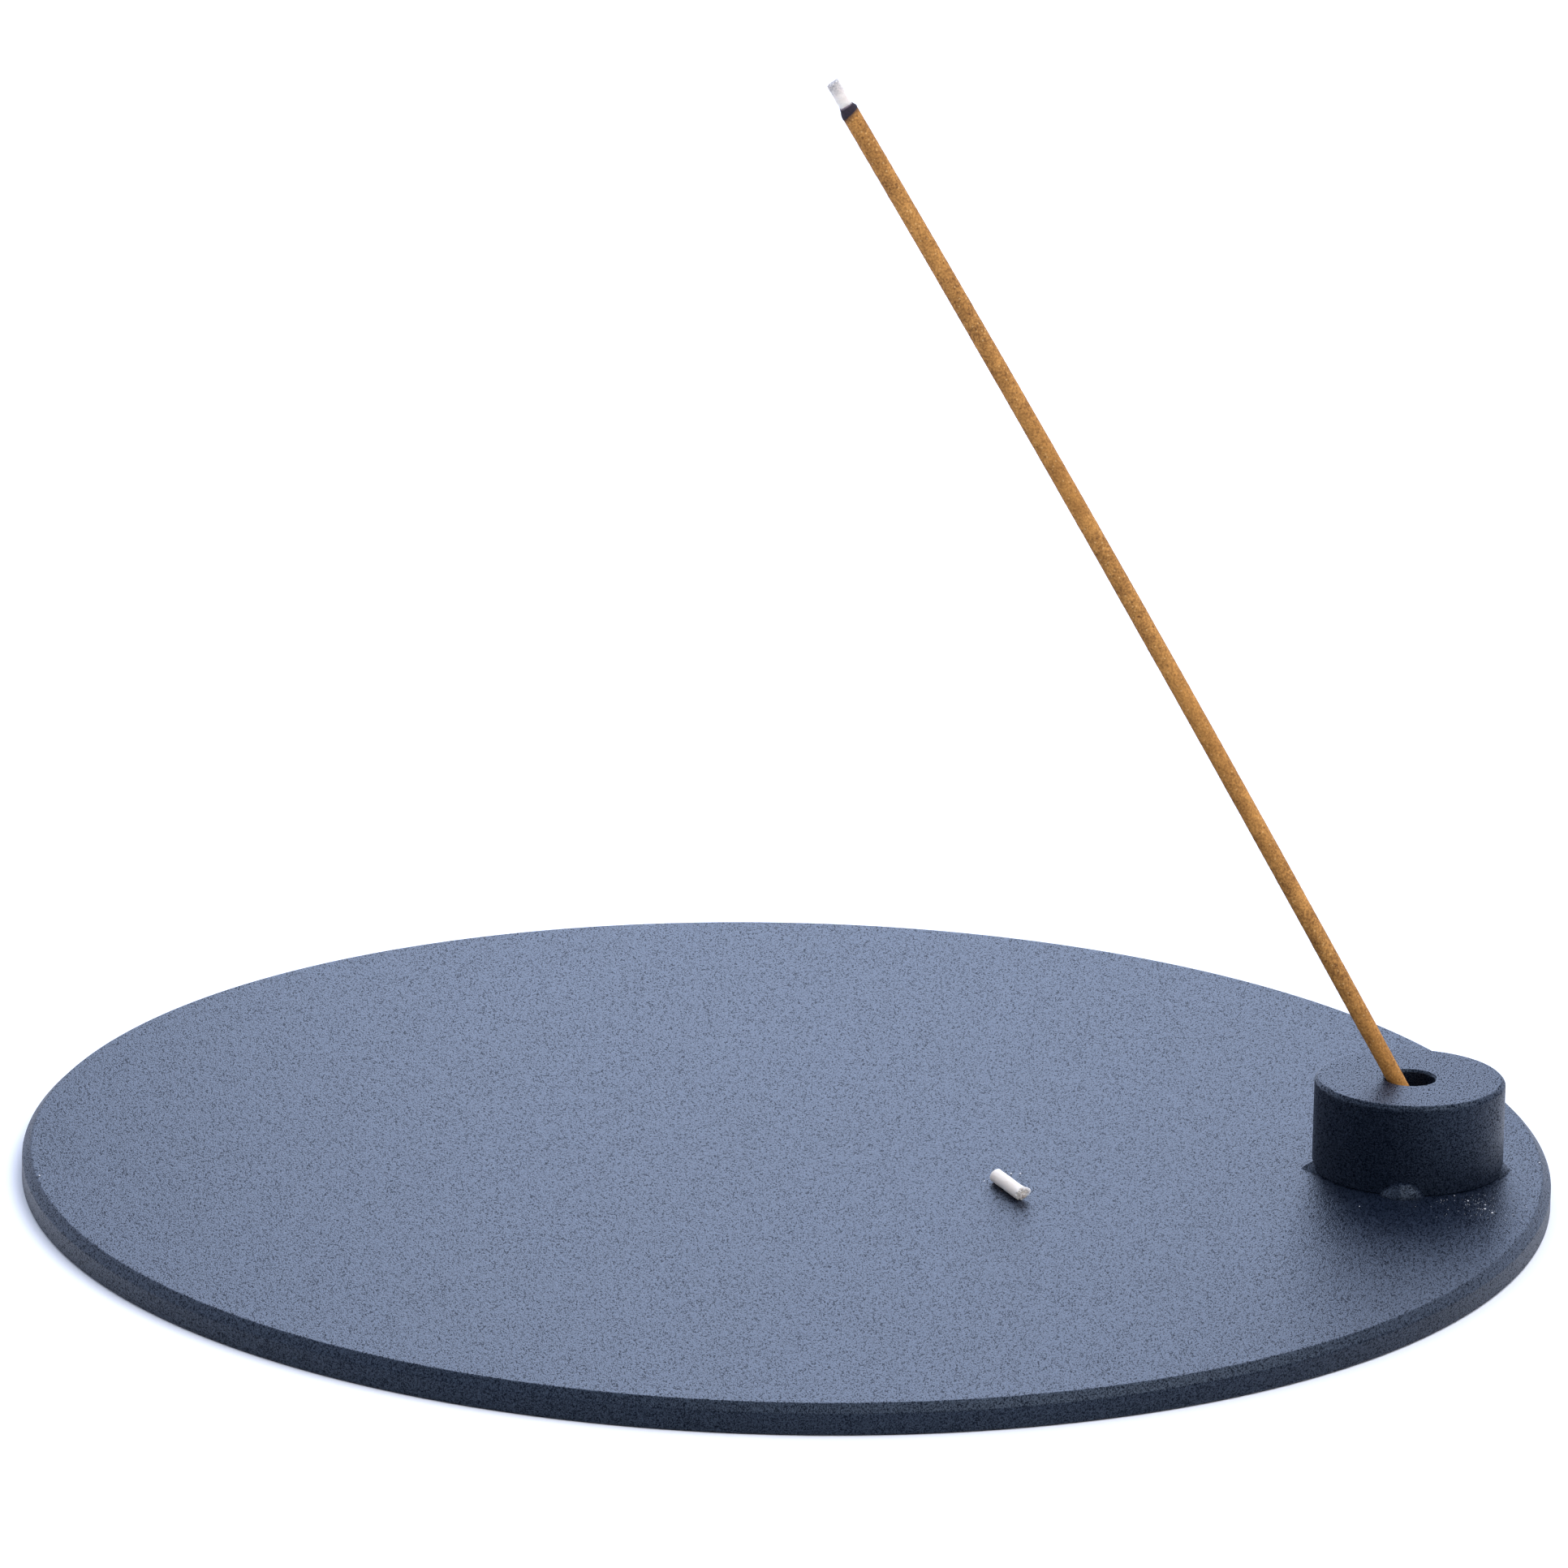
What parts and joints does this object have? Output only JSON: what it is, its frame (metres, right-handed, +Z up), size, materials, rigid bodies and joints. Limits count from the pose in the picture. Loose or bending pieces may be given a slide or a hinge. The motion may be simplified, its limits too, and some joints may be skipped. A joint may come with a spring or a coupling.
{
  "type": "incense burner",
  "caption": "Flat round tray incense burner with a small socket puck near the rim that holds a leaning incense stick over the tray.",
  "frame": {"origin": "centre of the tray's flat underside, on the surface the burner stands on", "axes": "+Z up, square to the tray; +X from the tray's centre towards the stick holder; +Y away from the usual viewer, by the right-hand rule"},
  "size_m": [0.2, 0.2, 0.1492],
  "materials": {
    "steel_coating": "matte",
    "incense": "matte",
    "charred_incense": "matte",
    "ash": "matte"
  },
  "bodies": {
    "burner": {"tray_plate": "steel_coating", "stick_holder": "steel_coating", "weld_tack_front": "steel_coating", "weld_tack_right": "steel_coating", "weld_tack_back": "steel_coating", "weld_tack_left": "steel_coating"},
    "stick": {"incense_stick": "incense", "char_band": "charred_incense", "ash_tip": "ash"},
    "loose_ash": {"fallen_ash": "ash"}
  },
  "joints": [
    {"name": "stick_pull", "type": "slide", "parent": "burner", "child": "stick", "axis": [-0.4841, 0, 0.875], "range_m": [0, 0.011]},
    {"name": "ash_lift", "type": "slide", "parent": "burner", "child": "loose_ash", "axis": [0, 0, 1], "range_m": [0, 0.02]}
  ]
}
